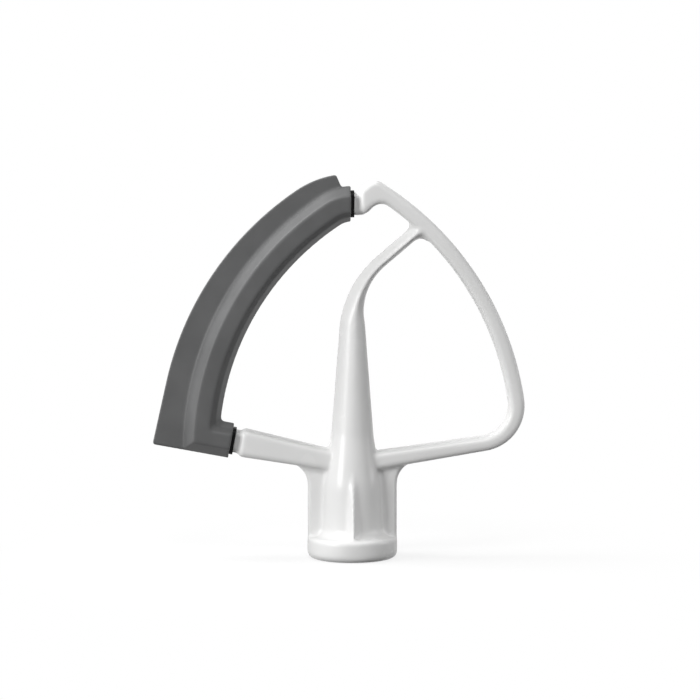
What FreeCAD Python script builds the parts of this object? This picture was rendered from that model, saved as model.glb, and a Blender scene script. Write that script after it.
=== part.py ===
import FreeCAD, Part
import Sketcher
import math
import os

# Flat beater with a flexible edge, standing on the mouth of its hub.
# The frame lies in the XZ plane, the flexible edge on the -X side, the hub's axis on Z.
# Lengths are millimetres, angles are degrees.

SIZES = {
    # Hub: bore for the drive shaft, boss round it, ring at the mouth
    "bore_radius": 6.45,
    "bore_depth": 30.0,
    "mouth_chamfer": 0.6,
    "boss_wall": 4.25,
    "boss_height": 27.0,
    "boss_spread": 0.8,
    "boss_flare": 3.1,
    "boss_shoulder_round": 30.0,
    "boss_fade": 10.0,
    "boss_sunk": 0.4,
    "ring_step": 5.7,
    "ring_height": 8.0,
    "ring_mouth_round": 2.4,
    "ring_top_round": 1.4,
    # Bayonet slot in the bore for the shaft's cross pin
    "slot_width": 5.2,
    "slot_cut": 2.75,
    "slot_depth": 14.0,
    "slot_turn": 60.0,
    # Webs in the frame plane, ridge ribs at the front and back of the boss
    "web_inset": 0.2,
    "web_thickness": 5.0,
    "web_round": 1.2,
    "gusset_radius": 8.0,
    "root_radius": 3.4,
    "gusset_sunk": 0.3,
    "ridge_inset": 0.6,
    "ridge_rise": 0.9,
    "ridge_width": 7.2,
    "ridge_top": 34.5,
    "ridge_top_width": 3.2,
    "ridge_sunk": 0.3,
    # Arms and right loop, a plate of one depth with rounded edges
    "loop_depth": 10.0,
    "loop_round": 1.9,
    "arm_bottom": 30.9,
    "arm_height": 6.8,
    "right_top_angle": 7.7,
    "right_bottom_angle": 9.6,
    "member_reach": 60.8,
    "member_radius": 109.3,
    "member_width": 5.7,
    "corner_inner_radius": 11.4,
    "corner_outer_radius": 16.6,
    # Hook at the tip
    "neck_height": 128.7,
    "hook_end": 2.4,
    "hook_heel": 1.0,
    "hook_crown_radius": 4.0,
    "hook_crown_run": 5.6,
    "hook_crown_rise": 4.5,
    "hook_hollow_radius": 4.5,
    "hook_hollow_run": 8.0,
    # Centre shaft, its bend and the diagonal
    "shaft_base_width": 16.6,
    "shaft_base_depth": 17.0,
    "shaft_width": 9.1,
    "shaft_depth": 11.0,
    "bend_height": 85.8,
    "bend_radius": 29.0,
    "diagonal_angle": 40.5,
    "diagonal_width": 4.8,
    "diagonal_depth": 9.8,
    "crest_shift": 0.9,
    "junction_radius": 3.5,
    # Bar inside the flexible edge, from the hook to the end of the left arm
    "left_end": 41.0,
    "left_end_height": 42.5,
    "left_angle": 10.5,
    "shoulder_lip": 0.25,
    "bar_width": 8.1,
    "bar_depth": 7.0,
    "bar_round": 1.4,
    "bar_sunk": 1.5,
    "rib_reach": 54.7,
    "rib_radius": 104.0,
    "crown_radius": 15.0,
    "crown_run": 2.25,
    "heel_round": 0.6,
    # Sleeve round the bar
    "core_wall": 0.8,
    "collar_length": 1.2,
    "neck_gap": 1.8,
    # Soft edge over the sleeve
    "side_skin": 1.6,
    "face_skin": 2.75,
    "strip_run": 3.4,
    "bevel_run": 1.9,
    "bevel_drop": 2.2,
    "draft_run": 1.9,
    "rib_round": 0.6,
    "heel_fillet": 1.4,
    "border_bevel": 0.5,
    # Wiping fin outside the rib
    "fin_thickness": 3.2,
    "fin_width": 9.0,
    "fin_top_width": 6.8,
    "fin_top_angle": 50.0,
    "fin_flare": 12.7,
    "fin_crown_radius": 35.0,
    "fin_end": 8.3,
    "fin_end_lean": 2.1,
    "fin_end_width": 4.0,
    "fin_corner_round": 0.8,
}

# Radius of a shaft flank over its chord: a quarter circle is 0.71, a flat facet has no limit
ROUND_FLANK = 0.72
SOFT_FLANK = 0.8
FLAT_FLANK = 2.0

# Parts into which the bend of the shaft is divided
BEND_STEPS = 4

# Places along the flare at the member, as shares of its radius away from the member's edge
FLARE_SHARES = (1.0, 0.6, 0.35, 0.15, 0.0)

doc = FreeCAD.newDocument("flat_beater")
sheet = doc.addObject("Spreadsheet::Sheet", "Sizes")
for row, (alias, number) in enumerate(SIZES.items(), start=1):
    sheet.set("A%d" % row, alias)
    sheet.set("B%d" % row, str(number))
    sheet.setAlias("B%d" % row, alias)
doc.recompute()


class Size:
    """A number together with the expression on the sheet that drives it."""

    def __init__(self, number, text):
        self.number = number
        self.text = text

    def __add__(self, other):
        other = as_size(other)
        return Size(self.number + other.number, "(%s + %s)" % (self.text, other.text))

    def __sub__(self, other):
        other = as_size(other)
        return Size(self.number - other.number, "(%s - %s)" % (self.text, other.text))

    def __mul__(self, other):
        other = as_size(other)
        return Size(self.number * other.number, "(%s * %s)" % (self.text, other.text))

    def __truediv__(self, other):
        other = as_size(other)
        return Size(self.number / other.number, "(%s / %s)" % (self.text, other.text))

    def __neg__(self):
        return Size(-self.number, "(0 - %s)" % self.text)


def as_size(value):
    return value if isinstance(value, Size) else Size(float(value), repr(float(value)))


def size(alias):
    return Size(float(sheet.get(alias)), "Sizes.%s" % alias)


def cosine(angle):
    return Size(math.cos(math.radians(angle.number)), "cos(%s * 1 deg)" % angle.text)


def sine(angle):
    return Size(math.sin(math.radians(angle.number)), "sin(%s * 1 deg)" % angle.text)


def root(value):
    return Size(math.sqrt(value.number), "sqrt(%s)" % value.text)


def place(point):
    """The vector of a point given as two sizes or two numbers."""
    return FreeCAD.Vector(as_size(point[0]).number, as_size(point[1]).number, 0)


# Sizes that follow from the driving ones
boss_radius = size("bore_radius") + size("boss_wall")
ring_radius = boss_radius + size("ring_step")
arm_top = size("arm_bottom") + size("arm_height")
core_width = size("bar_width") + size("core_wall") * 2
core_depth = size("bar_depth") + size("core_wall") * 2
core_round = size("bar_round") + size("core_wall")
shoulder_half = core_width / 2 + size("shoulder_lip")
rib_half = core_width / 2 + size("side_skin")
rib_depth_half = core_depth / 2 + size("face_skin")
heel_radius = core_width / 2 + size("heel_round")
collar_inset = size("neck_gap")
edge_inset = size("neck_gap") + size("collar_length")
half_loop = size("loop_depth") / 2
member_inner = size("member_radius") - size("member_width") / 2
member_outer = size("member_radius") + size("member_width") / 2


def far_centre(reach, radius, near_x, near_z, gap):
    """Centre of a side arc that bulges to the reach and passes at the gap from a point near the tip.

    The side lies on +X, and the centre across the axis from it.
    """
    across = reach - radius
    run = near_x - across
    return across, near_z - root(gap * gap - run * run)


hook_crown = (size("hook_end") + size("hook_crown_run"), size("neck_height") + size("hook_crown_rise"))
member_centre = far_centre(size("member_reach"), size("member_radius"), hook_crown[0], hook_crown[1],
                           member_outer - size("hook_crown_radius"))
crown_centre = (size("hook_end") - size("crown_run"), size("neck_height") - size("crown_radius"))
rib_mirrored = far_centre(size("rib_reach"), size("rib_radius"), -crown_centre[0], crown_centre[1],
                          size("rib_radius") - size("crown_radius"))
rib_centre = (-rib_mirrored[0], rib_mirrored[1])

# The fin's edge is an arc level with the rib's centre: its width is set there and at an angle above it
rib_outer = size("rib_radius") + rib_half
fin_top_reach = rib_outer + size("fin_top_width")
fin_run = rib_outer + size("fin_width") - fin_top_reach * cosine(size("fin_top_angle"))
fin_rise = fin_top_reach * sine(size("fin_top_angle"))
fin_radius = (fin_run * fin_run + fin_rise * fin_rise) / (fin_run * 2)
fin_centre = (rib_centre[0] - rib_outer - size("fin_width") + fin_radius, rib_centre[1])


class Outline:
    """Lines and arcs drawn end to end in one sketch, held by driven dimensions."""

    def __init__(self, sketch):
        self.sketch = sketch
        self.parts = []

    def line(self, first, last):
        index = self.sketch.addGeometry(Part.LineSegment(place(first), place(last)))
        self.parts.append((index, 1, 2))
        return index

    def arc(self, centre, first, last, left_turn):
        centre = place(centre)
        spokes = [place(first) - centre, place(last) - centre]
        angles = [math.atan2(spoke.y, spoke.x) for spoke in spokes]
        circle = Part.Circle(centre, FreeCAD.Vector(0, 0, 1), spokes[0].Length)
        if left_turn:
            index = self.sketch.addGeometry(Part.ArcOfCircle(circle, angles[0], angles[1]))
            self.parts.append((index, 1, 2))
        else:
            index = self.sketch.addGeometry(Part.ArcOfCircle(circle, angles[1], angles[0]))
            self.parts.append((index, 2, 1))
        return index

    def join(self, smooth=(), closed=True):
        """Join each part to the next one, tangent after the parts named in smooth."""
        count = len(self.parts)
        for order in range(count if closed else count - 1):
            index, _, last = self.parts[order]
            after, first, _ = self.parts[(order + 1) % count]
            kind = "Tangent" if index in smooth else "Coincident"
            self.sketch.addConstraint(Sketcher.Constraint(kind, index, last, after, first))

    def drive(self, constraint, expression):
        index = self.sketch.addConstraint(constraint)
        name = "driven_%d" % index
        self.sketch.renameConstraint(index, name)
        self.sketch.setExpression("Constraints." + name, expression)

    def pin(self, index, end, point):
        """Hold one end of a part, or an arc's centre (end 3), at a driven place."""
        for kind, value in zip(("DistanceX", "DistanceY"), point):
            self.drive(Sketcher.Constraint(kind, -1, 1, index, end, value.number), value.text)

    def pin_across(self, index, end, value):
        self.drive(Sketcher.Constraint("DistanceX", -1, 1, index, end, value.number), value.text)

    def pin_up(self, index, end, value):
        self.drive(Sketcher.Constraint("DistanceY", -1, 1, index, end, value.number), value.text)

    def radius(self, index, value):
        self.drive(Sketcher.Constraint("Radius", index, value.number), value.text)

    def slope(self, index, angle):
        radians = math.radians(angle.number)
        self.drive(Sketcher.Constraint("Angle", index, radians), angle.text)


def rounded_polygon(sketch, corners):
    """A closed outline with each corner (across, up, radius) rounded, or sharp at radius None."""
    outline = Outline(sketch)
    points = [place(corner) for corner in corners]
    count = len(corners)
    starts = []
    ends = []
    for order, corner in enumerate(corners):
        back = (points[order - 1] - points[order]).normalize()
        ahead = (points[(order + 1) % count] - points[order]).normalize()
        reach = 0.0
        if corner[2] is not None:
            reach = corner[2].number / math.tan(back.getAngle(ahead) / 2)
        ends.append(points[order] + back * reach)
        starts.append(points[order] + ahead * reach)
    smooth = []
    lines = []
    arcs = []
    for order, corner in enumerate(corners):
        if corner[2] is not None:
            back = points[order] - points[order - 1]
            ahead = points[(order + 1) % count] - points[order]
            left_turn = back.cross(ahead).z > 0
            inward = (points[order - 1] - points[order]).normalize()
            inward = (inward + (points[(order + 1) % count] - points[order]).normalize()).normalize()
            half_angle = inward.getAngle(ahead)
            centre = points[order] + inward * (corner[2].number / math.sin(half_angle))
            index = outline.arc(centre, ends[order], starts[order], left_turn)
            smooth.append(index)
            arcs.append((index, corner[2]))
        index = outline.line(starts[order], ends[(order + 1) % count])
        lines.append(index)
        if corners[(order + 1) % count][2] is not None:
            smooth.append(index)
    outline.join(smooth)
    for index, radius in arcs:
        outline.radius(index, radius)
    for order, corner in enumerate(corners):
        if corner[2] is None:
            outline.pin(lines[order], 1, corner[:2])
            continue
        mark = sketch.addGeometry(Part.Point(points[order]), True)
        outline.pin(mark, 1, corner[:2])
        for index in (lines[order - 1], lines[order]):
            sketch.addConstraint(Sketcher.Constraint("PointOnObject", mark, 1, index))


def new_body(label):
    body = doc.addObject("PartDesign::Body", label)
    body.Label = label
    return body


def new_sketch(body, plane, name):
    sketch = body.newObject("Sketcher::SketchObject", name)
    support = [part for part in body.Origin.OriginFeatures if part.Role == plane][0]
    sketch.AttachmentSupport = [(support, "")]
    sketch.MapMode = "FlatFace"
    return sketch


def shift(sketch, base, axis=None, angle=None):
    """Move a sketch off its origin plane by driven amounts, in the plane's own axes."""
    turn = FreeCAD.Rotation()
    if axis is not None:
        turn = FreeCAD.Rotation(axis, angle.number)
    base = [as_size(value) for value in base]
    vector = FreeCAD.Vector(*[value.number for value in base])
    sketch.AttachmentOffset = FreeCAD.Placement(vector, turn)
    for letter, value in zip("xyz", base):
        sketch.setExpression("AttachmentOffset.Base." + letter, value.text)
    if axis is not None:
        sketch.setExpression("AttachmentOffset.Rotation.Angle", angle.text + " * 1 deg")


def pad_both_ways(body, sketch, depth, name):
    pad = body.newObject("PartDesign::Pad", name)
    pad.Profile = sketch
    pad.SideType = "Symmetric"
    pad.Length = depth.number
    pad.setExpression("Length", depth.text)
    return pad


def round_edges(body, base, radius, chosen, name):
    """Fillet the edges of the body so far that pass the test."""
    doc.recompute()
    names = ["Edge%d" % order for order, edge in enumerate(base.Shape.Edges, start=1) if chosen(edge)]
    fillet = body.newObject("PartDesign::Fillet", name)
    fillet.Base = (base, names)
    fillet.Radius = radius.number
    fillet.setExpression("Radius", radius.text)
    doc.recompute()
    return fillet


def level_in_depth(edge, depth):
    """True for an edge that lies flat at this distance in front of or behind the frame plane."""
    box = edge.BoundBox
    return abs(box.YMin - box.YMax) < 1e-4 and abs(abs(box.YMin) - depth) < 1e-4


def arc_between(point, way, circle_centre, circle_radius, radius):
    """Centre of an arc that touches a line and, from inside, a circle further along the line.

    The line runs from the point along way. The arc lies on its left, or at a negative radius on its right.
    """
    beside = point + FreeCAD.Vector(-way.y, way.x, 0) * radius
    return line_meets_circle(beside, way, circle_centre, circle_radius - abs(radius))


def circles_meet(centre, radius, far_centre, far_radius):
    """Where two circles cross, on the right of the way from the first centre to the other."""
    way = far_centre - centre
    along = (way.Length ** 2 + radius ** 2 - far_radius ** 2) / (2 * way.Length)
    aside = math.sqrt(radius ** 2 - along ** 2)
    way.normalize()
    return centre + way * along + FreeCAD.Vector(way.y, -way.x, 0) * aside


def line_meets_circle(point, way, centre, radius):
    """Where a line leaves a circle, going on from the point."""
    start = point - centre
    along = start.dot(way)
    return point + way * (math.sqrt(along ** 2 - start.dot(start) + radius ** 2) - along)


def lines_meet(point, way, far_point, far_way):
    """Where two lines cross, each given by a point and a way."""
    between = far_point - point
    share = between.cross(far_way).z / way.cross(far_way).z
    return point + way * share


def touch(centre, radius, outer_centre):
    """Where a circle touches a larger one from inside."""
    return centre + (centre - outer_centre).normalize() * radius


def tangent_point(point, centre, radius):
    """Where a line from the point touches a circle on the left side, seen from the point."""
    toward = centre - point
    swing = math.asin(radius / toward.Length)
    turn = FreeCAD.Rotation(FreeCAD.Vector(0, 0, 1), math.degrees(swing))
    reach = math.sqrt(toward.Length ** 2 - radius ** 2)
    return point + turn.multVec(toward).normalize() * reach


def direction_of(angle):
    radians = math.radians(angle)
    return FreeCAD.Vector(math.cos(radians), math.sin(radians), 0)


def left_shoulder(inset, drop):
    """A point on the end of the left arm: inset along the bar, drop below the bar's middle line."""
    angle = size("left_angle")
    across = -size("left_end") - inset * cosine(angle) - drop * sine(angle)
    up = size("left_end_height") + inset * sine(angle) - drop * cosine(angle)
    return across, up


def draw_loop(sketch):
    """Arms, corner, right member and hook as one closed outline in the frame plane."""
    outline = Outline(sketch)
    member = place(member_centre)
    inner = member_inner.number
    outer = member_outer.number
    arms_top = (as_size(0), arm_top)
    arms_bottom = (as_size(0), size("arm_bottom"))
    left_top = left_shoulder(as_size(0), -shoulder_half)
    left_bottom = left_shoulder(as_size(0), shoulder_half)
    hook_low = (size("hook_end"), size("neck_height") - shoulder_half - size("hook_heel"))
    hook_high = (size("hook_end"), size("neck_height") + shoulder_half)

    corner_in = size("corner_inner_radius").number
    corner_out = size("corner_outer_radius").number
    top_way = direction_of(size("right_top_angle").number)
    bottom_way = direction_of(size("right_bottom_angle").number)
    corner_in_centre = arc_between(place(arms_top), top_way, member, inner, corner_in)
    corner_out_centre = arc_between(place(arms_bottom), bottom_way, member, outer, corner_out)
    corner_in_start = corner_in_centre + FreeCAD.Vector(top_way.y, -top_way.x, 0) * corner_in
    corner_out_start = corner_out_centre + FreeCAD.Vector(bottom_way.y, -bottom_way.x, 0) * corner_out
    corner_in_end = touch(corner_in_centre, corner_in, member)
    corner_out_end = touch(corner_out_centre, corner_out, member)

    hollow = size("hook_hollow_radius").number
    crown = size("hook_crown_radius").number
    hollow_x = size("hook_end") + size("hook_hollow_run")
    hollow_rise = math.sqrt((inner - hollow) ** 2 - (hollow_x.number - member.x) ** 2)
    hollow_centre = FreeCAD.Vector(hollow_x.number, member.y + hollow_rise, 0)
    hollow_start = touch(hollow_centre, hollow, member)
    hollow_end = tangent_point(place(hook_low), hollow_centre, hollow)
    crown_start = tangent_point(place(hook_high), place(hook_crown), crown)
    crown_end = touch(place(hook_crown), crown, member)

    left_arm_top = outline.line(left_top, arms_top)
    right_arm_top = outline.line(arms_top, corner_in_start)
    inner_corner = outline.arc(corner_in_centre, corner_in_start, corner_in_end, True)
    inner_member = outline.arc(member, corner_in_end, hollow_start, True)
    hook_hollow = outline.arc(hollow_centre, hollow_start, hollow_end, True)
    outline.line(hollow_end, hook_low)
    hook_face = outline.line(hook_low, hook_high)
    hook_slope = outline.line(hook_high, crown_start)
    crown_arc = outline.arc(hook_crown, crown_start, crown_end, False)
    outer_member = outline.arc(member, crown_end, corner_out_end, False)
    outer_corner = outline.arc(corner_out_centre, corner_out_end, corner_out_start, False)
    right_arm_bottom = outline.line(corner_out_start, arms_bottom)
    left_arm_bottom = outline.line(arms_bottom, left_bottom)
    left_face = outline.line(left_bottom, left_top)
    outline.join([right_arm_top, inner_corner, inner_member, hook_hollow,
                  hook_slope, crown_arc, outer_member, outer_corner])

    outline.pin(left_arm_top, 1, left_top)
    outline.pin(right_arm_top, 1, arms_top)
    outline.pin(left_arm_bottom, 1, arms_bottom)
    outline.pin(left_face, 1, left_bottom)
    outline.pin(hook_face, 1, hook_low)
    outline.pin(hook_slope, 1, hook_high)
    outline.pin(inner_member, 3, member_centre)
    sketch.addConstraint(Sketcher.Constraint("Coincident", inner_member, 3, outer_member, 3))
    outline.pin_across(hook_hollow, 3, hollow_x)
    outline.pin_across(crown_arc, 3, hook_crown[0])
    outline.slope(right_arm_top, size("right_top_angle"))
    outline.slope(right_arm_bottom, size("right_bottom_angle") - 180)
    outline.radius(inner_corner, size("corner_inner_radius"))
    outline.radius(inner_member, member_inner)
    outline.radius(hook_hollow, size("hook_hollow_radius"))
    outline.radius(crown_arc, size("hook_crown_radius"))
    outline.radius(outer_member, member_outer)
    outline.radius(outer_corner, size("corner_outer_radius"))
    return left_top, left_bottom, hook_low, hook_high


def draw_bar_path(sketch, inset, with_foot=True):
    """Middle line of the bar: hook end, crown bend, long arc, heel bend, left arm end."""
    outline = Outline(sketch)
    centre = place(rib_centre)
    radius = size("rib_radius").number
    crown = size("crown_radius").number
    start = (size("hook_end") - inset, size("neck_height"))
    crown_start = (crown_centre[0], size("neck_height"))
    crown_end = touch(place(crown_centre), crown, centre)
    first_line = outline.line(start, crown_start)
    crown_arc = outline.arc(crown_centre, crown_start, crown_end, True)
    if with_foot:
        finish = left_shoulder(inset, as_size(0))
        heel = heel_radius.number
        along = direction_of(-size("left_angle").number)
        heel_centre = arc_between(place(finish), along * -1, centre, radius, -heel)
        heel_start = touch(heel_centre, heel, centre)
        heel_end = heel_centre + FreeCAD.Vector(along.y, -along.x, 0) * heel
        long_arc = outline.arc(centre, crown_end, heel_start, True)
        heel_arc = outline.arc(heel_centre, heel_start, heel_end, True)
        last_line = outline.line(heel_end, finish)
        outline.join([first_line, crown_arc, long_arc, heel_arc], closed=False)
        outline.pin(last_line, 2, finish)
        outline.slope(last_line, -size("left_angle"))
        outline.radius(heel_arc, heel_radius)
    else:
        low_end = tip_of_rib()
        long_arc = outline.arc(centre, crown_end, low_end, True)
        outline.join([first_line, crown_arc], closed=False)
        outline.pin_up(long_arc, 2, low_end[1])
    outline.pin(first_line, 1, start)
    sketch.addConstraint(Sketcher.Constraint("Horizontal", first_line))
    outline.radius(crown_arc, size("crown_radius"))
    outline.radius(long_arc, size("rib_radius"))
    outline.pin(long_arc, 3, rib_centre)


def draw_bar_section(sketch, inset, width, depth, corner):
    """Rounded rectangle across the bar at its upper end."""
    shift(sketch, (0, size("neck_height"), size("hook_end") - inset))
    half_width = width / 2
    half_depth = depth / 2
    corners = [(half_depth, half_width, corner), (-half_depth, half_width, corner),
               (-half_depth, -half_width, corner), (half_depth, -half_width, corner)]
    rounded_polygon(sketch, corners)


def bar_sweep(body, kind, inset, width, depth, corner, name):
    path = new_sketch(body, "XZ_Plane", name + "_path")
    draw_bar_path(path, inset)
    section = new_sketch(body, "YZ_Plane", name + "_section")
    draw_bar_section(section, inset, width, depth, corner)
    sweep = body.newObject(kind, name)
    sweep.Profile = section
    sweep.Spine = (path, ["Edge%d" % order for order in range(1, 6)])
    doc.recompute()
    return sweep


def hub_neck():
    """Radius and height at which the boss has run into the centre shaft."""
    height = arm_top + size("boss_fade")
    return shaft_depth_at(height) / 2 - size("boss_sunk"), height


def boss_radius_at(height):
    """Radius of the boss at a height above its shoulder."""
    neck, top = hub_neck()
    taper = (boss_radius - neck) / (top - size("boss_height"))
    return boss_radius - (height - size("boss_height")) * taper


def hub_profile(sketch):
    """Half section of the ring and boss, turned about Z."""
    none = as_size(0)
    neck, top = hub_neck()
    corners = [(none, none, None), (ring_radius, none, size("ring_mouth_round")),
               (ring_radius, size("ring_height"), size("ring_top_round")),
               (boss_radius + size("boss_spread"), size("ring_height"), size("boss_flare")),
               (boss_radius, size("boss_height"), size("boss_shoulder_round")),
               (neck, top, None), (none, top, None)]
    rounded_polygon(sketch, corners)


def gusset(side, radius, height, rise, run, up):
    """Centre and end of an arc from an upright side to an arm that climbs by rise over run.

    The arm's line passes the hub's axis at the height. The arc lies above it at up 1, below it at up -1.
    """
    slant = root(rise * rise + run * run)
    across = side + radius
    centre = (across, height + across * rise / run + radius * slant / run * up)
    end = (across + radius * rise / slant * up, centre[1] - radius * run / slant * up)
    return centre, end


def mirrored(points):
    return [(-across, up) for across, up in points]


def web_outline(sketch):
    """Side webs below the arms, their gussets, and the fillets from the arms to the shaft above."""
    outline = Outline(sketch)
    web = ring_radius - size("web_inset")
    foot = size("ring_height") / 2
    top = arm_top + size("shaft_base_width") / 2
    side = shaft_width_at(top) / 2 - size("web_round") / 2
    left_low = left_shoulder(as_size(0), shoulder_half)
    left_high = left_shoulder(as_size(0), -shoulder_half)
    low_height = size("arm_bottom") + size("gusset_sunk")
    high_height = arm_top - size("gusset_sunk")
    low_radius = size("gusset_radius")
    high_radius = size("root_radius")
    low_angle = size("right_bottom_angle")
    high_angle = size("right_top_angle")
    low_right = gusset(web, low_radius, low_height, sine(low_angle), cosine(low_angle), -1)
    high_right = gusset(side, high_radius, high_height, sine(high_angle), cosine(high_angle), 1)
    low_left = gusset(web, low_radius, low_height, left_low[1] - size("arm_bottom"), -left_low[0], -1)
    high_left = gusset(side, high_radius, high_height, left_high[1] - arm_top, -left_high[0], 1)
    low_left = mirrored(low_left)
    high_left = mirrored(high_left)

    base = outline.line((-web, foot), (web, foot))
    right_edge = outline.line((web, foot), (web, low_right[0][1]))
    low_right_arc = outline.arc(low_right[0], (web, low_right[0][1]), low_right[1], False)
    right_arm = outline.line(low_right[1], high_right[1])
    high_right_arc = outline.arc(high_right[0], high_right[1], (side, high_right[0][1]), False)
    right_side = outline.line((side, high_right[0][1]), (side, top))
    cap = outline.line((side, top), (-side, top))
    left_side = outline.line((-side, top), (-side, high_left[0][1]))
    high_left_arc = outline.arc(high_left[0], (-side, high_left[0][1]), high_left[1], False)
    left_arm = outline.line(high_left[1], low_left[1])
    low_left_arc = outline.arc(low_left[0], low_left[1], (-web, low_left[0][1]), False)
    left_edge = outline.line((-web, low_left[0][1]), (-web, foot))
    outline.join([right_edge, high_right_arc, left_side, low_left_arc])
    outline.pin(base, 1, (-web, foot))
    outline.pin(base, 2, (web, foot))
    outline.pin(cap, 1, (side, top))
    outline.pin(cap, 2, (-side, top))
    outline.pin(right_arm, 1, low_right[1])
    outline.pin(right_arm, 2, high_right[1])
    outline.pin(left_arm, 1, high_left[1])
    outline.pin(left_arm, 2, low_left[1])
    for arc, radius in ((low_right_arc, low_radius), (high_right_arc, high_radius),
                        (high_left_arc, high_radius), (low_left_arc, low_radius)):
        outline.radius(arc, radius)
    for edge in (right_edge, right_side, left_side, left_edge):
        sketch.addConstraint(Sketcher.Constraint("Vertical", edge))


def ridge_section(body, height, reach, width, surface, name):
    """Six-sided section across the hub: its front and back points are the crests of the ridge ribs.

    The flanks end just under the boss, whose radius there is the surface.
    """
    sketch = new_sketch(body, "XY_Plane", name)
    shift(sketch, (0, 0, height))
    none = as_size(0)
    half = width / 2
    foot = root(surface * surface - half * half) - size("ridge_sunk")
    corners = [(half, -foot, None), (half, foot, None), (none, reach, None), (-half, foot, None),
               (-half, -foot, None), (none, -reach, None)]
    rounded_polygon(sketch, corners)
    return sketch


def shaft_section(body, base, tilt, width, depth, crest, fullness, name):
    """Four bowed flanks that meet in a crest at the front and the back."""
    sketch = new_sketch(body, "XY_Plane", name)
    shift(sketch, base, FreeCAD.Vector(0, 1, 0), tilt)
    outline = Outline(sketch)
    none = as_size(0)
    points = [(width / 2, none), (crest, depth / 2), (-width / 2, none), (crest, -depth / 2)]
    flanks = []
    for order, first in enumerate(points):
        last = points[(order + 1) % len(points)]
        chord = place(last) - place(first)
        bow = fullness * chord.Length
        lift = math.sqrt(bow ** 2 - (chord.Length / 2) ** 2)
        inward = FreeCAD.Vector(-chord.y, chord.x, 0).normalize()
        centre = (place(first) + place(last)) / 2 + inward * lift
        flanks.append(outline.arc(centre, place(first), place(last), True))
    outline.join()
    for order, flank in enumerate(flanks):
        first = points[order]
        last = points[(order + 1) % len(points)]
        run = last[0] - first[0]
        rise = last[1] - first[1]
        outline.pin(flank, 1, first)
        outline.radius(flank, root(run * run + rise * rise) * fullness)
    return sketch


def shaft_width_at(height):
    """Width of the straight shaft at a height."""
    taper = (size("shaft_base_width") - size("shaft_width")) / (size("bend_height") - arm_top)
    return size("shaft_base_width") - (height - arm_top) * taper


def shaft_depth_at(height):
    """Depth of the straight shaft at a height."""
    taper = (size("shaft_base_depth") - size("shaft_depth")) / (size("bend_height") - size("arm_bottom"))
    return size("shaft_base_depth") - (height - size("arm_bottom")) * taper


def shaft_taper(body):
    """Straight, tapered part of the centre shaft, from the arms up to the bend."""
    none = as_size(0)
    low = shaft_section(body, (none, none, size("arm_bottom")), none, shaft_width_at(size("arm_bottom")),
                        size("shaft_base_depth"), none, ROUND_FLANK, "shaft_low")
    high = shaft_section(body, (none, none, size("bend_height")), none, size("shaft_width"),
                         size("shaft_depth"), size("crest_shift"), SOFT_FLANK, "shaft_high")
    join_sections(body, [low, high], True, "shaft")


def shaft_bend(body):
    """Bend of the shaft towards +X, which narrows to the creased diagonal up to the right member."""
    none = as_size(0)
    bend = size("bend_radius")
    full_tilt = as_size(90) - size("diagonal_angle")
    thinning = size("diagonal_width") - size("shaft_width")
    flattening = size("diagonal_depth") - size("shaft_depth")
    crest = size("crest_shift")

    def on_bend(tilt, beyond):
        across = bend - bend * cosine(tilt) + beyond * sine(tilt)
        up = size("bend_height") + bend * sine(tilt) + beyond * cosine(tilt)
        return across, none, up

    sections = []
    for step in range(BEND_STEPS + 1):
        share = step / BEND_STEPS
        eased = 2 * share - share ** 2
        fullness = SOFT_FLANK + (FLAT_FLANK - SOFT_FLANK) * share
        sections.append(shaft_section(
            body, on_bend(full_tilt * share, none), full_tilt * share, size("shaft_width") + thinning * eased,
            size("shaft_depth") + flattening * eased, crest, fullness, "bend_%d" % step))
    join_sections(body, sections, False, "bend")

    start = on_bend(full_tilt, none)
    run = start[0] - member_centre[0]
    rise = start[2] - member_centre[1]
    along = run * sine(full_tilt) + rise * cosine(full_tilt)

    def reach_of(radius):
        """Length of the diagonal up to a circle about the member's centre."""
        return root(along * along - run * run - rise * rise + radius * radius) - along

    flare = size("junction_radius")
    width = size("diagonal_width")
    places = [(none, width)]
    for share in FLARE_SHARES:
        bulge = 1 - math.sqrt(1 - (1 - share) ** 2)
        places.append((reach_of(member_inner) - flare * share, width + flare * (2 * bulge)))
    places.append((reach_of(size("member_radius")), width + flare * 2))
    sections = [shaft_section(body, on_bend(full_tilt, beyond), full_tilt, across, size("diagonal_depth"),
                              crest, FLAT_FLANK, "diagonal_%d" % order)
                for order, (beyond, across) in enumerate(places)]
    join_sections(body, sections, True, "diagonal")


def join_sections(body, sections, ruled, name):
    loft = body.newObject("PartDesign::AdditiveLoft", name)
    loft.Profile = sections[0]
    loft.Sections = sections[1:]
    loft.Ruled = ruled
    doc.recompute()


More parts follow.
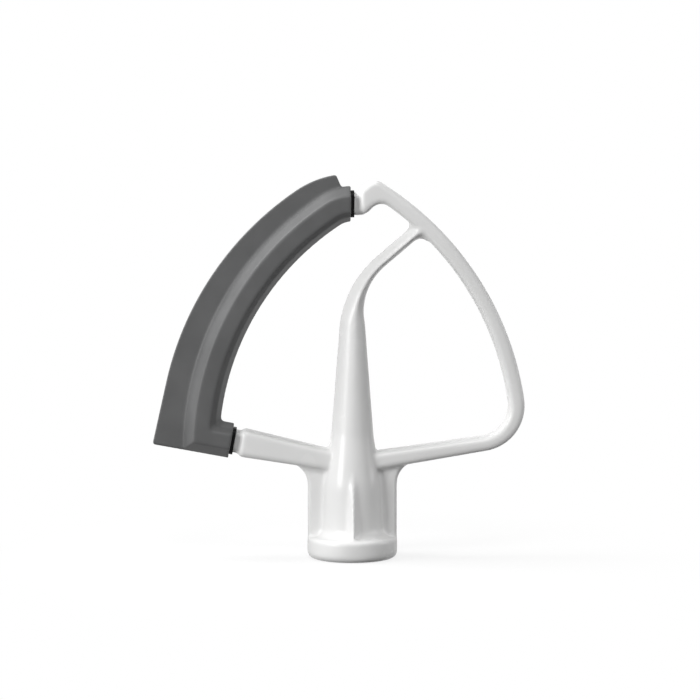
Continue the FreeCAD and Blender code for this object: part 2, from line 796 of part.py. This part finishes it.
def cut_bore(body):
    """Blind bore with a broken edge at its mouth, and the bayonet slot in its wall."""
    radius = size("bore_radius")
    depth = size("bore_depth")
    chamfer = size("mouth_chamfer")
    none = as_size(0)
    profile = new_sketch(body, "XZ_Plane", "bore_profile")
    rounded_polygon(profile, [(none, none, None), (radius + chamfer, none, None), (radius, chamfer, None),
                              (radius, depth, None), (none, depth + radius / 2, None)])
    bore = body.newObject("PartDesign::Groove", "bore")
    bore.Profile = profile
    bore.ReferenceAxis = (profile, ["V_Axis"])
    bore.Angle = 360
    doc.recompute()

    half = size("slot_width") / 2
    reach = size("bore_radius") + size("slot_cut")
    entry_sketch = new_sketch(body, "XY_Plane", "slot_entry_outline")
    rounded_polygon(entry_sketch, [(half, none, None), (half, reach, None), (-half, reach, None),
                                   (-half, none, None)])
    entry = body.newObject("PartDesign::Pocket", "slot_entry")
    entry.Profile = entry_sketch
    entry.Reversed = True
    entry.Length = size("slot_depth").number
    entry.setExpression("Length", size("slot_depth").text)
    doc.recompute()

    low = size("slot_depth") - size("slot_width")
    turn_sketch = new_sketch(body, "YZ_Plane", "slot_turn_profile")
    rounded_polygon(turn_sketch, [(none, low, None), (reach, low, None), (reach, size("slot_depth"), None),
                                  (none, size("slot_depth"), None)])
    turn = body.newObject("PartDesign::Groove", "slot_turn")
    turn.Profile = turn_sketch
    turn.ReferenceAxis = (turn_sketch, ["V_Axis"])
    turn.Angle = size("slot_turn").number
    turn.setExpression("Angle", size("slot_turn").text)
    doc.recompute()
    for feature in (bore, entry, turn):
        removed = feature.BaseFeature.Shape.Volume - feature.Shape.Volume
        print("%s removes %.1f mm3" % (feature.Label, removed))


def at_corner(edge, corners):
    """True for an edge that runs straight through the depth at one of these corners."""
    box = edge.BoundBox
    if box.XLength > 1e-4 or box.ZLength > 1e-4:
        return False
    return any(math.hypot(box.XMin - corner.x, box.ZMin - corner.y) < 1e-3 for corner in map(place, corners))


def make_frame():
    body = new_body("beater_frame")
    web_sketch = new_sketch(body, "XZ_Plane", "web_outline")
    web_outline(web_sketch)
    webs = pad_both_ways(body, web_sketch, size("web_thickness"), "webs")
    half_web = size("web_thickness").number / 2

    def web_edge(edge):
        upright = edge.BoundBox.XLength < 1e-3
        curved = isinstance(edge.Curve, Part.Circle)
        return level_in_depth(edge, half_web) and (upright or curved)

    round_edges(body, webs, size("web_round"), web_edge, "web_edges")

    outline = new_sketch(body, "XZ_Plane", "loop_outline")
    ends = draw_loop(outline)
    plate = pad_both_ways(body, outline, size("loop_depth"), "loop")

    def loop_edge(edge):
        return level_in_depth(edge, half_loop.number) or at_corner(edge, ends)

    round_edges(body, plate, size("loop_round"), loop_edge, "loop_edges")
    bar_sweep(body, "PartDesign::AdditivePipe", -size("bar_sunk"), size("bar_width"), size("bar_depth"),
              size("bar_round"), "bar")

    shaft_taper(body)
    shaft_bend(body)

    profile = new_sketch(body, "XZ_Plane", "hub_profile")
    hub_profile(profile)
    hub = body.newObject("PartDesign::Revolution", "hub")
    hub.Profile = profile
    hub.ReferenceAxis = (profile, ["V_Axis"])
    hub.Angle = 360

    middle_width = (size("ridge_width") + size("ridge_top_width")) / 2
    top_surface = boss_radius_at(size("ridge_top"))
    sections = [
        ridge_section(body, size("ring_height") / 2, ring_radius - size("ridge_inset"),
                      size("ridge_width"), boss_radius + size("boss_spread"), "ridge_low"),
        ridge_section(body, size("boss_height"), boss_radius + size("ridge_rise"),
                      middle_width, boss_radius, "ridge_high"),
        ridge_section(body, size("ridge_top"), top_surface - size("ridge_sunk"),
                      size("ridge_top_width"), top_surface, "ridge_end"),
    ]
    join_sections(body, sections, True, "ridges")
    cut_bore(body)
    return body


def draw_rib_section(sketch, outward):
    """Section of the soft rib: flat towards the fin, light strip, face, bevel, drafted inner side."""
    fin = size("fin_thickness") / 2
    soft = size("rib_round")
    face = rib_depth_half
    strip = rib_half - size("strip_run")
    draft = -rib_half + size("draft_run")
    bevel = draft + size("bevel_run")
    shoulder = face - size("bevel_drop")
    none = as_size(0)
    half = [(fin, rib_half, None), (face, strip, soft), (face, bevel, soft), (shoulder, draft, soft)]
    corners = half + [(none, -rib_half, soft)]
    corners += [(-depth, offset, corner) for depth, offset, corner in reversed(half)]
    if outward < 0:
        corners = [(depth, -offset, corner) for depth, offset, corner in corners]
    rounded_polygon(sketch, corners)


def bottom_edge(across):
    """Height of the soft edge's lower border at a distance from the hub's axis."""
    angle = size("left_angle")
    start = left_shoulder(as_size(0), rib_half)
    return (across, start[1] - (across - start[0]) * sine(angle) / cosine(angle))


def tip_of_rib():
    """Point on the rib's middle line below the lower border, where the swept rib may end."""
    low = left_shoulder(as_size(0), rib_half)[1]
    drop = rib_centre[1] - low
    return rib_centre[0] - root(size("rib_radius") * size("rib_radius") - drop * drop), low


def draw_fin(sketch):
    """Wiping fin outside the rib, from the lower border to the upper end."""
    outline = Outline(sketch)
    main = place(fin_centre)
    rib = place(rib_centre)
    crown = size("fin_crown_radius").number
    root_radius = size("rib_radius") + rib_half - size("strip_run") / 2
    corner = (size("hook_end") - size("fin_end"), size("neck_height") + rib_half + size("fin_end_width"))
    crown_middle = circles_meet(place(corner), crown, main, fin_radius.number - crown)
    crown_end = touch(crown_middle, crown, main)
    root_across = corner[0] + size("fin_end_lean")
    root_rise = math.sqrt(root_radius.number ** 2 - (root_across.number - rib.x) ** 2)
    root_top = (root_across, rib.y + root_rise)
    border = bottom_edge(as_size(0))
    border_way = direction_of(180 - size("left_angle").number)
    flare = size("fin_flare")
    flare_start = main + direction_of(180 - flare.number) * fin_radius.number
    flare_way = direction_of(270 - flare.number)
    tip = lines_meet(flare_start, flare_way, place(border), border_way)
    half_tip = (flare_way * -1).getAngle(border_way * -1) / 2
    round_reach = size("fin_corner_round").number / math.tan(half_tip)
    round_start = tip - flare_way * round_reach
    round_end = tip - border_way * round_reach
    inward = (flare_way + border_way).normalize() * -1
    round_centre = tip + inward * (size("fin_corner_round").number / math.sin(half_tip))
    root_low = line_meets_circle(place(border), border_way, rib, root_radius.number)

    end = outline.line(root_top, corner)
    crown_arc = outline.arc(crown_middle, corner, crown_end, True)
    main_arc = outline.arc(main, crown_end, flare_start, True)
    flare_line = outline.line(flare_start, round_start)
    tip_arc = outline.arc(round_centre, round_start, round_end, True)
    lower = outline.line(round_end, root_low)
    root_arc = outline.arc(rib, root_low, root_top, False)
    outline.join([crown_arc, main_arc, flare_line, tip_arc])
    outline.pin(end, 2, corner)
    outline.pin_across(end, 1, root_across)
    outline.radius(crown_arc, size("fin_crown_radius"))
    outline.radius(tip_arc, size("fin_corner_round"))
    outline.radius(main_arc, fin_radius)
    outline.pin(main_arc, 3, fin_centre)
    outline.slope(flare_line, -flare - 90)
    outline.radius(root_arc, root_radius)
    outline.pin(root_arc, 3, rib_centre)
    outline.slope(lower, -size("left_angle"))
    mark = sketch.addGeometry(Part.Point(place(border)), True)
    outline.pin(mark, 1, border)
    sketch.addConstraint(Sketcher.Constraint("PointOnObject", mark, 1, lower))
    return corner


def make_core():
    body = new_body("edge_core")
    bar_sweep(body, "PartDesign::AdditivePipe", collar_inset, core_width, core_depth, core_round, "sleeve")
    bar_sweep(body, "PartDesign::SubtractivePipe", as_size(0), size("bar_width"), size("bar_depth"),
              size("bar_round"), "bar_hole")
    return body


def make_edge():
    body = new_body("flex_edge")
    angle = size("left_angle")
    path = new_sketch(body, "XZ_Plane", "rib_path")
    draw_bar_path(path, as_size(0), with_foot=False)
    section = new_sketch(body, "YZ_Plane", "rib_section")
    shift(section, (0, size("neck_height"), size("hook_end")))
    draw_rib_section(section, 1)
    rib = body.newObject("PartDesign::AdditivePipe", "rib")
    rib.Profile = section
    rib.Spine = (path, ["Edge1", "Edge2", "Edge3"])
    doc.recompute()

    foot_end = left_shoulder(edge_inset, as_size(0))
    foot_section = new_sketch(body, "YZ_Plane", "foot_section")
    shift(foot_section, (0, foot_end[1], foot_end[0]), FreeCAD.Vector(1, 0, 0), angle)
    draw_rib_section(foot_section, -1)
    foot = body.newObject("PartDesign::Pad", "foot")
    foot.Profile = foot_section
    foot.Reversed = True
    length = (size("rib_reach") + foot_end[0]) / cosine(angle)
    foot.Length = length.number
    foot.setExpression("Length", length.text)
    doc.recompute()

    fin_sketch = new_sketch(body, "XZ_Plane", "fin_outline")
    fin_corner = draw_fin(fin_sketch)
    pad_both_ways(body, fin_sketch, size("fin_thickness"), "fin")
    doc.recompute()

    trim_sketch = new_sketch(body, "XZ_Plane", "border_outline")
    left = bottom_edge(-fin_radius)
    right = bottom_edge(foot_end[0])
    below = rib_centre[1] - fin_radius
    rounded_polygon(trim_sketch, [left + (None,), (left[0], below, None), (right[0], below, None),
                                  right + (None,)])
    end_cut = size("hook_end") - edge_inset
    end_past = size("hook_end") + rib_half
    end_low = size("neck_height") - rib_half * 2
    end_high = size("neck_height") + rib_half * 2
    rounded_polygon(trim_sketch, [(end_cut, end_low, None), (end_past, end_low, None),
                                  (end_past, end_high, None), (end_cut, end_high, None)])
    trim = body.newObject("PartDesign::Pocket", "border")
    trim.Profile = trim_sketch
    trim.SideType = "Symmetric"
    trim.Length = rib_depth_half.number * 4
    trim.setExpression("Length", (rib_depth_half * 4).text)
    doc.recompute()

    bevel_sketch = new_sketch(body, "YZ_Plane", "bevel_outline")
    shift(bevel_sketch, (0, foot_end[1], foot_end[0]), FreeCAD.Vector(1, 0, 0), angle)
    fin_half = size("fin_thickness") / 2
    low = -rib_half * 2
    slope = size("strip_run") / (rib_depth_half - fin_half)
    near = -rib_half + size("border_bevel") - fin_half * slope
    far = -rib_half + size("border_bevel") + rib_depth_half * slope
    none = as_size(0)
    for front in (1, -1):
        rounded_polygon(bevel_sketch, [(none, near, None), ((rib_depth_half + fin_half) * front, far, None),
                                       ((rib_depth_half + fin_half) * front, low, None), (none, low, None)])
    bevel = body.newObject("PartDesign::Pocket", "lower_bevel")
    bevel.Profile = bevel_sketch
    bevel.SideType = "Symmetric"
    bevel.Length = fin_radius.number * 2
    bevel.setExpression("Length", (fin_radius * 2).text)
    doc.recompute()
    print("lower bevel removes %.1f mm3" % (trim.Shape.Volume - bevel.Shape.Volume))

    def fin_corner_edge(edge):
        return at_corner(edge, [fin_corner])

    fin_end = round_edges(body, bevel, size("fin_corner_round"), fin_corner_edge, "fin_end")

    inner_radius = size("rib_radius").number - rib_half.number
    heel_line = left_shoulder(as_size(0), -rib_half)
    heel_way = direction_of(180 - angle.number)
    heel = line_meets_circle(place(heel_line), heel_way, place(rib_centre), inner_radius)

    def heel_edge(edge):
        middle = edge.CenterOfMass
        near = math.hypot(middle.x - heel.x, middle.z - heel.y) < rib_half.number
        return near and not isinstance(edge.Curve, (Part.Line, Part.Circle))

    round_edges(body, fin_end, size("heel_fillet"), heel_edge, "heel")
    bar_sweep(body, "PartDesign::SubtractivePipe", collar_inset, core_width, core_depth, core_round,
              "core_hole")
    return body


bodies = [make_frame(), make_core(), make_edge()]
doc.recompute()

for part in doc.Objects:
    if "Invalid" in part.State or "Error" in part.State:
        raise RuntimeError("%s failed: %s" % (part.Label, part.State))
for body in bodies:
    shape = body.Shape
    if shape.isNull() or not shape.isValid() or len(shape.Solids) != 1:
        raise RuntimeError("%s is not one valid solid" % body.Label)

os.makedirs("parts", exist_ok=True)
for body in bodies:
    body.Shape.exportStep("parts/%s.step" % body.Label)
    print("%s %.1f mm3" % (body.Label, body.Shape.Volume))
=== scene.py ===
import bpy
import math
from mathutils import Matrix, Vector


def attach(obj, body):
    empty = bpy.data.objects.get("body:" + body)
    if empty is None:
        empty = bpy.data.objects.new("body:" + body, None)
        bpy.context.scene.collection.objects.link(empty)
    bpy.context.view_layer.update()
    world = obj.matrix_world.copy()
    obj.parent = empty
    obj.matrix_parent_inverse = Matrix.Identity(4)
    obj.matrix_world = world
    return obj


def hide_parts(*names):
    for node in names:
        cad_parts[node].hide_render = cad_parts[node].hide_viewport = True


# Flat beater with a flexible edge: the casting, the sleeve's collars and the soft edge,
# standing on the hub's mouth in soft light from the upper left.

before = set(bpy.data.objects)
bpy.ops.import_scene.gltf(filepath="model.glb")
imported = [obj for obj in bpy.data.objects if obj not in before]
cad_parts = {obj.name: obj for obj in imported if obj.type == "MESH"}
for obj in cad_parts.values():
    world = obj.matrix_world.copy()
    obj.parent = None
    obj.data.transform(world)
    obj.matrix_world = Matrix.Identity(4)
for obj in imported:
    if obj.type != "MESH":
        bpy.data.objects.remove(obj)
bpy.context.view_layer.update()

MM = 0.001
MERGE_DISTANCE = 0.001 * MM
RELAX_FACTOR = 0.5

# Casting: grain and relaxing of its skin, which is fullest near the hub
CASTING_GRAIN = 0.5 * MM
CASTING_ROUNDS = 16
HUB_REACH = 20.0 * MM
HUB_TOP = 48.0 * MM
HUB_FADE = 10.0 * MM
LOSS_AWAY_FROM_HUB = 0.2

# Soft edge: grain and relaxing of its skin, which is weakest at the fin
EDGE_GRAIN = 0.4 * MM
EDGE_ROUNDS = 9
FIN_DEPTH = 2.5 * MM
FIN_FADE = 2.5 * MM
FIN_SHARE = 0.4

# Noise in the skins: detail of each layer, and the range that the mottling is spread from
NOISE_DETAIL = {"Grain Scale": 2.0, "Wave Scale": 1.0, "Mottle Scale": 4.0}
NOISE_ROUGHNESS = 0.5
MOTTLE_LOW = 0.35
MOTTLE_HIGH = 0.65

# Floor, in metres, and how bright it looks and how much light it throws back
FLOOR_RADIUS = 2.5
FLOOR_SIDES = 96
FLOOR_ROUGHNESS = 0.8
FLOOR_SEEN = (0.95, 0.95, 0.95, 1.0)
FLOOR_BOUNCE = (0.12, 0.12, 0.12, 1.0)
SHADOW_NEAR = 0.03
SHADOW_FAR = 0.13
GLOW_NEAR = 0.82
GLOW_FAR = 1.0

# Surroundings and lamps
WHITE = (1.0, 1.0, 1.0, 1.0)
WHITE_STRENGTH = 1.0
SURROUND_LIGHT = 0.03
LAMP_AIM = (0.0, 0.0, 0.07)

# Camera: the size of a pixel at the beater, and the pixel where the middle of the hub's mouth lies
PIXEL = 0.3625 * MM
PICTURE = 700.0
HUB_COLUMN = 352.3
HUB_ROW = 559.0
DISTANCE = 0.95
AZIMUTH = math.radians(-2.0)
ELEVATION = math.radians(4.7)
SENSOR = 36.0
NEAR_LIMIT = 0.05


def select_only(piece):
    """Make one object the only selected one, and the active one."""
    bpy.ops.object.select_all(action="DESELECT")
    piece.select_set(True)
    bpy.context.view_layer.objects.active = piece


def apply_modifiers(piece):
    select_only(piece)
    for modifier in list(piece.modifiers):
        bpy.ops.object.modifier_apply(modifier=modifier.name)


def joined_copy(node, name):
    """A copy of a node with its loose triangles merged into one skin."""
    piece = bpy.data.objects.new(name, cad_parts[node].data.copy())
    bpy.context.scene.collection.objects.link(piece)
    select_only(piece)
    bpy.ops.object.mode_set(mode="EDIT")
    bpy.ops.mesh.select_all(action="SELECT")
    bpy.ops.mesh.remove_doubles(threshold=MERGE_DISTANCE)
    bpy.ops.object.mode_set(mode="OBJECT")
    return piece


def melt_edges(piece, grain, rounds, share_at):
    """Rebuild the skin on an even grain and relax it, so that edges and inner corners soften.

    share_at gives the share of the relaxing that each point takes.
    """
    skin = piece.modifiers.new("even_grain", "REMESH")
    skin.mode = "VOXEL"
    skin.voxel_size = grain
    apply_modifiers(piece)
    softness = piece.vertex_groups.new(name="softness")
    for vertex in piece.data.vertices:
        softness.add([vertex.index], share_at(vertex.co), "REPLACE")
    relax = piece.modifiers.new("melted_edges", "SMOOTH")
    relax.factor = RELAX_FACTOR
    relax.iterations = rounds
    relax.vertex_group = softness.name
    apply_modifiers(piece)
    piece.vertex_groups.clear()
    bpy.ops.object.shade_smooth()


def dress(piece, material):
    piece.data.materials.clear()
    piece.data.materials.append(material)


def stand_for(piece, node):
    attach(piece, "root")
    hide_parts(node)


# Node group: fine grain and slow mottling of a moulded or coated skin

def make_skin_group():
    group = bpy.data.node_groups.new("skin_texture", "ShaderNodeTree")
    group.interface.new_socket("Vector", in_out="INPUT", socket_type="NodeSocketVector")
    for label in ("Grain Scale", "Wave Scale", "Wave Share", "Mottle Scale"):
        group.interface.new_socket(label, in_out="INPUT", socket_type="NodeSocketFloat")
    for label in ("Height", "Mottle"):
        group.interface.new_socket(label, in_out="OUTPUT", socket_type="NodeSocketFloat")
    nodes = group.nodes
    links = group.links
    entry = nodes.new("NodeGroupInput")
    result = nodes.new("NodeGroupOutput")
    noises = {}
    for label, detail in NOISE_DETAIL.items():
        noise = nodes.new("ShaderNodeTexNoise")
        noise.inputs["Detail"].default_value = detail
        noise.inputs["Roughness"].default_value = NOISE_ROUGHNESS
        links.new(entry.outputs["Vector"], noise.inputs["Vector"])
        links.new(entry.outputs[label], noise.inputs["Scale"])
        noises[label] = noise
    blend = nodes.new("ShaderNodeMix")
    links.new(entry.outputs["Wave Share"], blend.inputs["Factor"])
    links.new(noises["Grain Scale"].outputs["Fac"], blend.inputs["A"])
    links.new(noises["Wave Scale"].outputs["Fac"], blend.inputs["B"])
    links.new(blend.outputs["Result"], result.inputs["Height"])
    spread = nodes.new("ShaderNodeMapRange")
    spread.inputs["From Min"].default_value = MOTTLE_LOW
    spread.inputs["From Max"].default_value = MOTTLE_HIGH
    links.new(noises["Mottle Scale"].outputs["Fac"], spread.inputs["Value"])
    links.new(spread.outputs["Result"], result.inputs["Mottle"])
    return group


skin_group = make_skin_group()


def skin_material(name, colours, roughness, texture, bump_strength, bump_height, ior, specular):
    """A surface whose colour and roughness drift between two values, with a fine bump on it."""
    material = bpy.data.materials.new(name)
    material.use_nodes = True
    nodes = material.node_tree.nodes
    links = material.node_tree.links
    shader = nodes["Principled BSDF"]
    shader.inputs["IOR"].default_value = ior
    shader.inputs["Specular IOR Level"].default_value = specular
    where = nodes.new("ShaderNodeTexCoord")
    skin = nodes.new("ShaderNodeGroup")
    skin.node_tree = skin_group
    links.new(where.outputs["Object"], skin.inputs["Vector"])
    for label, value in texture.items():
        skin.inputs[label].default_value = value
    tint = nodes.new("ShaderNodeMix")
    tint.data_type = "RGBA"
    tint.inputs["A"].default_value = (*colours[0], 1.0)
    tint.inputs["B"].default_value = (*colours[1], 1.0)
    links.new(skin.outputs["Mottle"], tint.inputs["Factor"])
    links.new(tint.outputs["Result"], shader.inputs["Base Color"])
    gloss = nodes.new("ShaderNodeMapRange")
    gloss.inputs["To Min"].default_value = roughness[0]
    gloss.inputs["To Max"].default_value = roughness[1]
    links.new(skin.outputs["Mottle"], gloss.inputs["Value"])
    links.new(gloss.outputs["Result"], shader.inputs["Roughness"])
    relief = nodes.new("ShaderNodeBump")
    relief.inputs["Strength"].default_value = bump_strength
    relief.inputs["Distance"].default_value = bump_height
    links.new(skin.outputs["Height"], relief.inputs["Height"])
    links.new(relief.outputs["Normal"], shader.inputs["Normal"])
    return material


# White coat on the casting: satin, with a faint orange peel
white_coat = skin_material(
    "white_coat",
    colours=((0.84, 0.84, 0.835), (0.87, 0.87, 0.865)),
    roughness=(0.22, 0.28),
    texture={"Grain Scale": 900.0, "Wave Scale": 420.0, "Wave Share": 0.7, "Mottle Scale": 45.0},
    bump_strength=0.02,
    bump_height=0.05 * MM,
    ior=1.45,
    specular=0.3)

# Soft edge: matte moulded rubber
soft_grey = skin_material(
    "soft_grey",
    colours=((0.118, 0.119, 0.12), (0.136, 0.137, 0.138)),
    roughness=(0.4, 0.46),
    texture={"Grain Scale": 3200.0, "Wave Scale": 700.0, "Wave Share": 0.35, "Mottle Scale": 70.0},
    bump_strength=0.18,
    bump_height=0.08 * MM,
    ior=1.5,
    specular=0.2)

# Sleeve: black moulded plastic
black_sleeve = skin_material(
    "black_sleeve",
    colours=((0.004, 0.004, 0.004), (0.007, 0.007, 0.007)),
    roughness=(0.38, 0.46),
    texture={"Grain Scale": 2600.0, "Wave Scale": 500.0, "Wave Share": 0.4, "Mottle Scale": 90.0},
    bump_strength=0.1,
    bump_height=0.06 * MM,
    ior=1.45,
    specular=0.1)


# Pieces

def casting_softness(point):
    """Full where arms, webs and shaft run into the hub, less towards the tip and the necks."""
    away = max(abs(point.x) - HUB_REACH, point.z - HUB_TOP, 0.0)
    return 1.0 - LOSS_AWAY_FROM_HUB * min(away / HUB_FADE, 1.0)


def edge_softness(point):
    """Full on the rib's face, less at the root of the fin."""
    rise = max(abs(point.y) - FIN_DEPTH, 0.0)
    return FIN_SHARE + (1.0 - FIN_SHARE) * min(rise / FIN_FADE, 1.0)


casting = joined_copy("beater_frame", "frame_casting")
melt_edges(casting, CASTING_GRAIN, CASTING_ROUNDS, casting_softness)
dress(casting, white_coat)
stand_for(casting, "beater_frame")

edge = joined_copy("flex_edge", "wiping_edge")
melt_edges(edge, EDGE_GRAIN, EDGE_ROUNDS, edge_softness)
dress(edge, soft_grey)
stand_for(edge, "flex_edge")

dress(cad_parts["edge_core"], black_sleeve)


# Floor and surroundings: white wherever they are looked at, also in a reflection

def ground_rays(tree, path):
    """The rays that look at the ground: straight on, off a gloss or through a clear piece."""
    seen = path.outputs["Is Camera Ray"]
    for kind in ("Is Glossy Ray", "Is Transmission Ray"):
        either = tree.nodes.new("ShaderNodeMath")
        either.operation = "MAXIMUM"
        tree.links.new(seen, either.inputs[0])
        tree.links.new(path.outputs[kind], either.inputs[1])
        seen = either.outputs["Value"]
    return seen


def make_floor():
    """A white floor, with the shadow near the hub fading out into the background."""
    bpy.ops.object.select_all(action="DESELECT")
    bpy.ops.mesh.primitive_circle_add(
        vertices=FLOOR_SIDES, radius=FLOOR_RADIUS, fill_type="NGON", location=(0, 0, 0))
    floor = bpy.context.active_object
    floor.name = "floor"
    material = bpy.data.materials.new("pale_floor")
    material.use_nodes = True
    nodes = material.node_tree.nodes
    links = material.node_tree.links
    surface = nodes["Principled BSDF"]
    surface.inputs["Roughness"].default_value = FLOOR_ROUGHNESS
    path = nodes.new("ShaderNodeLightPath")
    tone = nodes.new("ShaderNodeMix")
    tone.data_type = "RGBA"
    tone.inputs["A"].default_value = FLOOR_BOUNCE
    tone.inputs["B"].default_value = FLOOR_SEEN
    links.new(path.outputs["Is Camera Ray"], tone.inputs["Factor"])
    links.new(tone.outputs["Result"], surface.inputs["Base Color"])
    where = nodes.new("ShaderNodeTexCoord")
    reach = nodes.new("ShaderNodeVectorMath")
    reach.operation = "LENGTH"
    links.new(where.outputs["Object"], reach.inputs[0])
    fade = nodes.new("ShaderNodeMapRange")
    fade.inputs["From Min"].default_value = SHADOW_NEAR
    fade.inputs["From Max"].default_value = SHADOW_FAR
    fade.inputs["To Min"].default_value = GLOW_NEAR
    fade.inputs["To Max"].default_value = GLOW_FAR
    links.new(reach.outputs["Value"], fade.inputs["Value"])
    share = nodes.new("ShaderNodeMath")
    share.operation = "MULTIPLY"
    links.new(ground_rays(material.node_tree, path), share.inputs[0])
    links.new(fade.outputs["Result"], share.inputs[1])
    glow = nodes.new("ShaderNodeEmission")
    glow.inputs["Strength"].default_value = WHITE_STRENGTH
    mix = nodes.new("ShaderNodeMixShader")
    links.new(share.outputs["Value"], mix.inputs["Fac"])
    links.new(surface.outputs["BSDF"], mix.inputs[1])
    links.new(glow.outputs["Emission"], mix.inputs[2])
    links.new(mix.outputs["Shader"], nodes["Material Output"].inputs["Surface"])
    dress(floor, material)


def make_world():
    """White surroundings, which throw only a little light on the beater."""
    world = bpy.data.worlds.new("white_surroundings")
    bpy.context.scene.world = world
    world.use_nodes = True
    nodes = world.node_tree.nodes
    links = world.node_tree.links
    dim = nodes["Background"]
    dim.inputs["Color"].default_value = WHITE
    dim.inputs["Strength"].default_value = SURROUND_LIGHT
    white = nodes.new("ShaderNodeBackground")
    white.inputs["Color"].default_value = WHITE
    white.inputs["Strength"].default_value = WHITE_STRENGTH
    path = nodes.new("ShaderNodeLightPath")
    mix = nodes.new("ShaderNodeMixShader")
    links.new(ground_rays(world.node_tree, path), mix.inputs["Fac"])
    links.new(dim.outputs["Background"], mix.inputs[1])
    links.new(white.outputs["Background"], mix.inputs[2])
    links.new(mix.outputs["Shader"], nodes["World Output"].inputs["Surface"])


make_floor()
make_world()


# Lamps: strong ones at the left and above, weaker ones in front and at the right

def add_lamp(name, place, width, height, power):
    """A rectangular lamp that shines on the middle of the beater."""
    bpy.ops.object.select_all(action="DESELECT")
    bpy.ops.object.light_add(type="AREA", location=place)
    lamp = bpy.context.active_object
    lamp.name = name
    lamp.data.shape = "RECTANGLE"
    lamp.data.size = width
    lamp.data.size_y = height
    lamp.data.energy = power
    lamp.rotation_euler = (Vector(LAMP_AIM) - Vector(place)).to_track_quat("-Z", "Y").to_euler()


add_lamp("left_front_lamp", place=(-0.8, -0.6, 0.3), width=0.4, height=0.4, power=6.4)
add_lamp("left_top_lamp", place=(-0.6, 0.06, 0.85), width=0.3, height=0.7, power=8.6)
add_lamp("high_front_lamp", place=(0.0, -0.7, 0.9), width=0.4, height=0.4, power=4.2)
add_lamp("right_fill", place=(1.0, 0.0, 0.3), width=0.4, height=0.4, power=2.6)


# Camera: long lens, a little from the left and from above

target = Vector(((PICTURE / 2 - HUB_COLUMN) * PIXEL, 0.0, (HUB_ROW - PICTURE / 2) * PIXEL))
back = Vector((math.sin(AZIMUTH) * math.cos(ELEVATION),
               -math.cos(AZIMUTH) * math.cos(ELEVATION),
               math.sin(ELEVATION)))
bpy.ops.object.select_all(action="DESELECT")
bpy.ops.object.camera_add(location=target + back * DISTANCE)
camera = bpy.context.active_object
camera.rotation_euler = (-back).to_track_quat("-Z", "Y").to_euler()
camera.data.sensor_width = SENSOR
camera.data.lens = SENSOR * DISTANCE / (PICTURE * PIXEL)
camera.data.clip_start = NEAR_LIMIT
bpy.context.scene.camera = camera
bpy.context.scene.view_settings.view_transform = "Standard"
